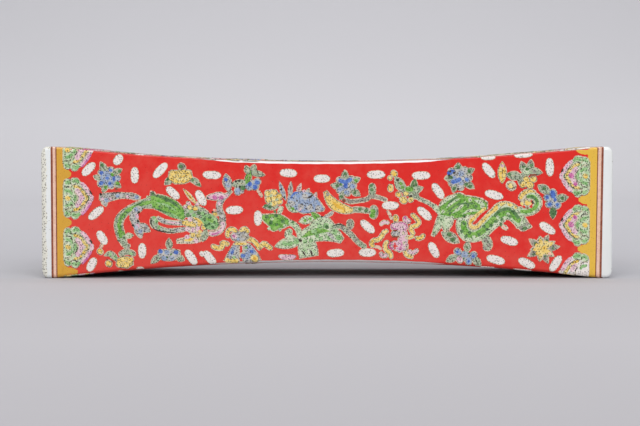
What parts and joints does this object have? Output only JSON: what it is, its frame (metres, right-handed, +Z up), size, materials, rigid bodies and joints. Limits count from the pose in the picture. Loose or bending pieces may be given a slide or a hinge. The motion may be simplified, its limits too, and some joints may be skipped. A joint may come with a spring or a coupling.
{
  "type": "ceramic pillow",
  "caption": "Long hollow porcelain pillow of square section that narrows at the waist, slab-built with white end slabs and enamelled faces, for resting the neck.",
  "frame": {"origin": "centre of the footprint, on the table that the pillow stands on", "axes": "+X along the length, -Y the front face, +Z up"},
  "size_m": [0.36, 0.083, 0.083],
  "materials": {
    "red_enamel": "glossy coral-red overglaze enamel",
    "white_glaze": "glossy clear glaze on white porcelain",
    "bare_clay": "matt unglazed biscuit",
    "yellow_enamel": "glossy yellow overglaze enamel",
    "green_enamel": "glossy leaf-green overglaze enamel",
    "blue_enamel": "glossy blue overglaze enamel",
    "pink_enamel": "glossy rose-pink overglaze enamel",
    "white_enamel": "satin opaque white overglaze enamel",
    "dark_line": "thin brown-black painted line"
  },
  "bodies": {
    "root": {"top_slab": "red_enamel", "base_slab": "red_enamel", "front_slab": "red_enamel", "back_slab": "red_enamel", "left_end_slab": "white_glaze", "right_end_slab": "white_glaze", "top_front_seam_coil": "bare_clay", "top_back_seam_coil": "bare_clay", "base_front_seam_coil": "bare_clay", "base_back_seam_coil": "bare_clay", "left_end_seam_coil": "bare_clay"}
  },
  "joints": []
}
